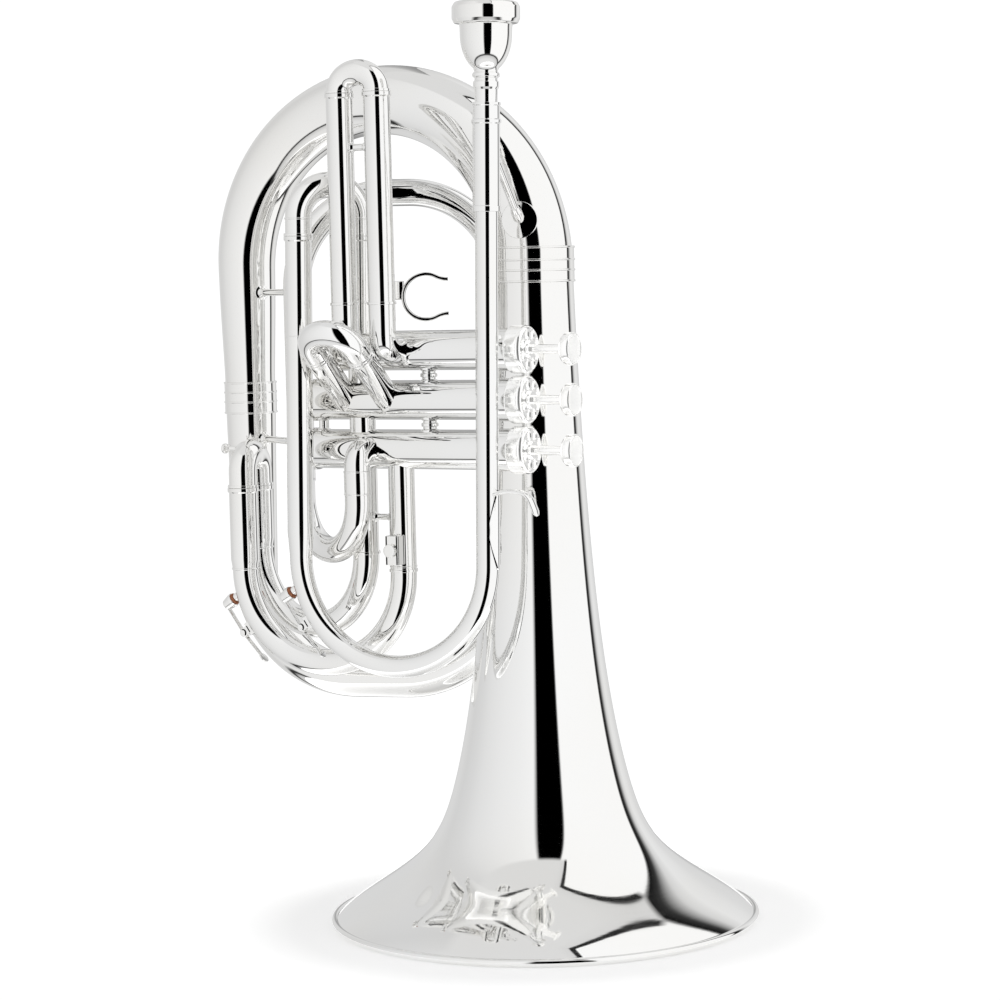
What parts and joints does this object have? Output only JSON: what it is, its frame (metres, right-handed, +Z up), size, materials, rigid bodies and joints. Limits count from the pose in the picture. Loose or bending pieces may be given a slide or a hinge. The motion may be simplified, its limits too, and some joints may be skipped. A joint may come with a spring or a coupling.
{
  "type": "marching baritone horn",
  "caption": "Silver-plated marching baritone brass horn standing on its bell, with piston valves, pull-out slides, water keys and a removable mouthpiece.",
  "frame": {"origin": "centre of the bell rim, on the surface it stands on", "axes": "+Z up along the bell axis, +X towards the valve buttons, -Y towards the leadpipe and mouthpiece side"},
  "size_m": [0.3403, 0.254, 0.5319],
  "materials": {
    "silver": "mirror-polished silver plate",
    "bright": "mirror-polished silver plate",
    "piston": "lapped nickel alloy",
    "spring": "drawn wire",
    "cork": "matte reddish-brown pad"
  },
  "bodies": {
    "horn": {"bell_flare": "silver", "bell_stem": "silver", "bell_ferrule": "silver", "top_bow": "silver", "branch_ferrule": "silver", "bottom_bow": "silver", "rear_ferrule": "silver", "inner_bow": "silver", "small_bow": "silver", "small_bow_ferrule": "silver", "valve_elbow": "silver", "braces": "silver", "receiver": "silver", "leadpipe": "silver", "leadpipe_bow": "silver", "tuning_tube": "silver", "tuning_inlet": "silver", "bell_brace": "silver", "finger_hook": "bright", "thumb_hook": "bright", "lyre_socket": "bright", "lyre_screw": "bright", "first_slide_tubes": "silver", "second_slide_tubes": "silver", "third_slide_loop": "silver", "third_slide_return": "silver", "casing_1": "silver", "casing_2": "silver", "casing_3": "silver", "casing_links": "silver", "top_cap_1": "bright", "top_cap_2": "bright", "top_cap_3": "bright", "bottom_cap_1": "bright", "bottom_cap_2": "bright", "bottom_cap_3": "bright", "valve_spring_1": "spring", "valve_spring_2": "spring", "valve_spring_3": "spring", "key_mount_1": "bright", "key_mount_2": "bright"},
    "mouthpiece": {"mouthpiece": "bright"},
    "piston_1": {"piston_1": "piston", "button_1": "bright"},
    "piston_2": {"piston_2": "piston", "button_2": "bright"},
    "piston_3": {"piston_3": "piston", "button_3": "bright"},
    "tuning_slide": {"tuning_slide": "bright"},
    "first_slide": {"first_slide": "bright"},
    "second_slide": {"second_slide": "bright"},
    "third_slide": {"third_slide": "bright"},
    "water_key_1": {"water_key_1": "bright", "key_cork_1": "cork"},
    "water_key_2": {"water_key_2": "bright", "key_cork_2": "cork"}
  },
  "joints": [
    {"name": "mouthpiece_pull", "type": "slide", "parent": "horn", "child": "mouthpiece", "axis": [0.0227, 0, 0.9997], "range_m": [0, 0.03]},
    {"name": "piston_1_press", "type": "slide", "parent": "horn", "child": "piston_1", "axis": [-1, 0, 0], "range_m": [0, 0.016], "stiffness_N_per_m": 180, "springref_m": -0.01, "deforming": ["valve_spring_1"]},
    {"name": "piston_2_press", "type": "slide", "parent": "horn", "child": "piston_2", "axis": [-1, 0, 0], "range_m": [0, 0.016], "stiffness_N_per_m": 180, "springref_m": -0.01, "deforming": ["valve_spring_2"]},
    {"name": "piston_3_press", "type": "slide", "parent": "horn", "child": "piston_3", "axis": [-1, 0, 0], "range_m": [0, 0.016], "stiffness_N_per_m": 180, "springref_m": -0.01, "deforming": ["valve_spring_3"]},
    {"name": "tuning_slide_pull", "type": "slide", "parent": "horn", "child": "tuning_slide", "axis": [0.0227, 0, 0.9997], "range_m": [0, 0.035]},
    {"name": "first_slide_pull", "type": "slide", "parent": "horn", "child": "first_slide", "axis": [0, 0, 1], "range_m": [0, 0.05]},
    {"name": "second_slide_pull", "type": "slide", "parent": "horn", "child": "second_slide", "axis": [0, -0.7604, 0.6494], "range_m": [0, 0.02]},
    {"name": "third_slide_pull", "type": "slide", "parent": "horn", "child": "third_slide", "axis": [0, 0, 1], "range_m": [0, 0.03]},
    {"name": "water_key_1_open", "type": "hinge", "parent": "horn", "child": "water_key_1", "pos_m": [-0.17261, -0.048, 0.16966], "axis": [0, -1, 0], "range_deg": [0, 14], "stiffness_Nm_per_rad": 0.05, "springref_deg": -22.92},
    {"name": "water_key_2_open", "type": "hinge", "parent": "horn", "child": "water_key_2", "pos_m": [-0.11521, -0.075, 0.17828], "axis": [0, -1, 0], "range_deg": [0, 14], "stiffness_Nm_per_rad": 0.05, "springref_deg": -22.92}
  ]
}
